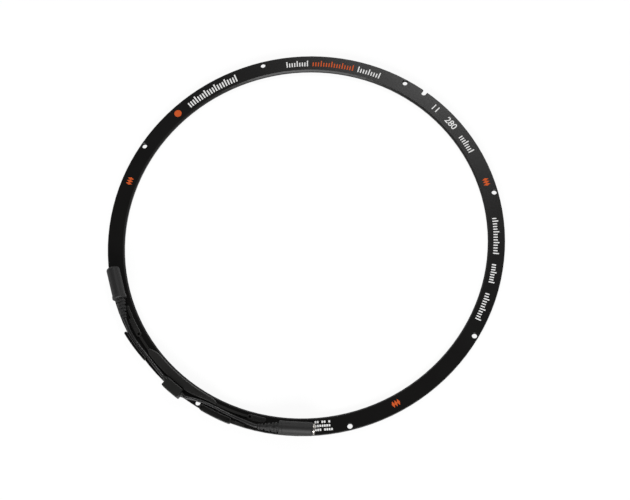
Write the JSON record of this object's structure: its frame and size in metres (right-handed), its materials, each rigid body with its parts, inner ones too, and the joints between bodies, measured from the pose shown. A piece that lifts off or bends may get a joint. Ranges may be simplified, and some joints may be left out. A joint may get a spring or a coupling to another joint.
{
  "type": "telescope dew heater ring",
  "caption": "Flat black dew heater ring for a telescope's front end, with screw holes round its edge, a moulded cable cover, and two short leads that end in in-line sockets.",
  "frame": {"origin": "centre of the ring, on the back face of the backing ring that it lies on", "axes": "+Z out of the marked face, +X through a screw hole; the cable exit lies at 216.75 degrees from +X towards +Y"},
  "size_m": [0.3065, 0.306, 0.0157],
  "materials": {
    "anodised_aluminium": "satin black anodised",
    "heater_film": "smooth film",
    "backing_rubber": "matte closed-cell rubber",
    "cover_plastic": "fine moulded texture",
    "soft_plastic": "soft matte",
    "socket_moulding": "soft matte moulding",
    "cord_jacket": "smooth extruded jacket",
    "nickel_contact": "bright plated",
    "nylon_insulator": "natural",
    "bead_resin": "glossy resin",
    "wire_grey": "insulated wire",
    "wire_red": "insulated wire"
  },
  "bodies": {
    "root": {"ring_plate": "anodised_aluminium", "heater_element": "heater_film", "backing_ring": "backing_rubber", "cable_cover": "cover_plastic", "exit_block": "cover_plastic", "sensor_gland": "soft_plastic", "power_gland": "soft_plastic", "sensor_edge_guide": "cover_plastic", "power_edge_guide": "cover_plastic", "sensor_bead": "bead_resin", "sensor_wire": "wire_grey", "power_wire": "wire_red", "sensor_lead": "cord_jacket", "power_lead": "cord_jacket", "sensor_socket_housing": "socket_moulding", "sensor_socket_sleeve": "nickel_contact", "sensor_socket_insulator": "cover_plastic", "sensor_tip_contact": "nickel_contact", "sensor_ring_contact": "nickel_contact", "power_socket_housing": "socket_moulding", "power_socket_shell": "nickel_contact", "power_socket_insulator": "nylon_insulator", "power_socket_contact": "nickel_contact"}
  },
  "joints": []
}
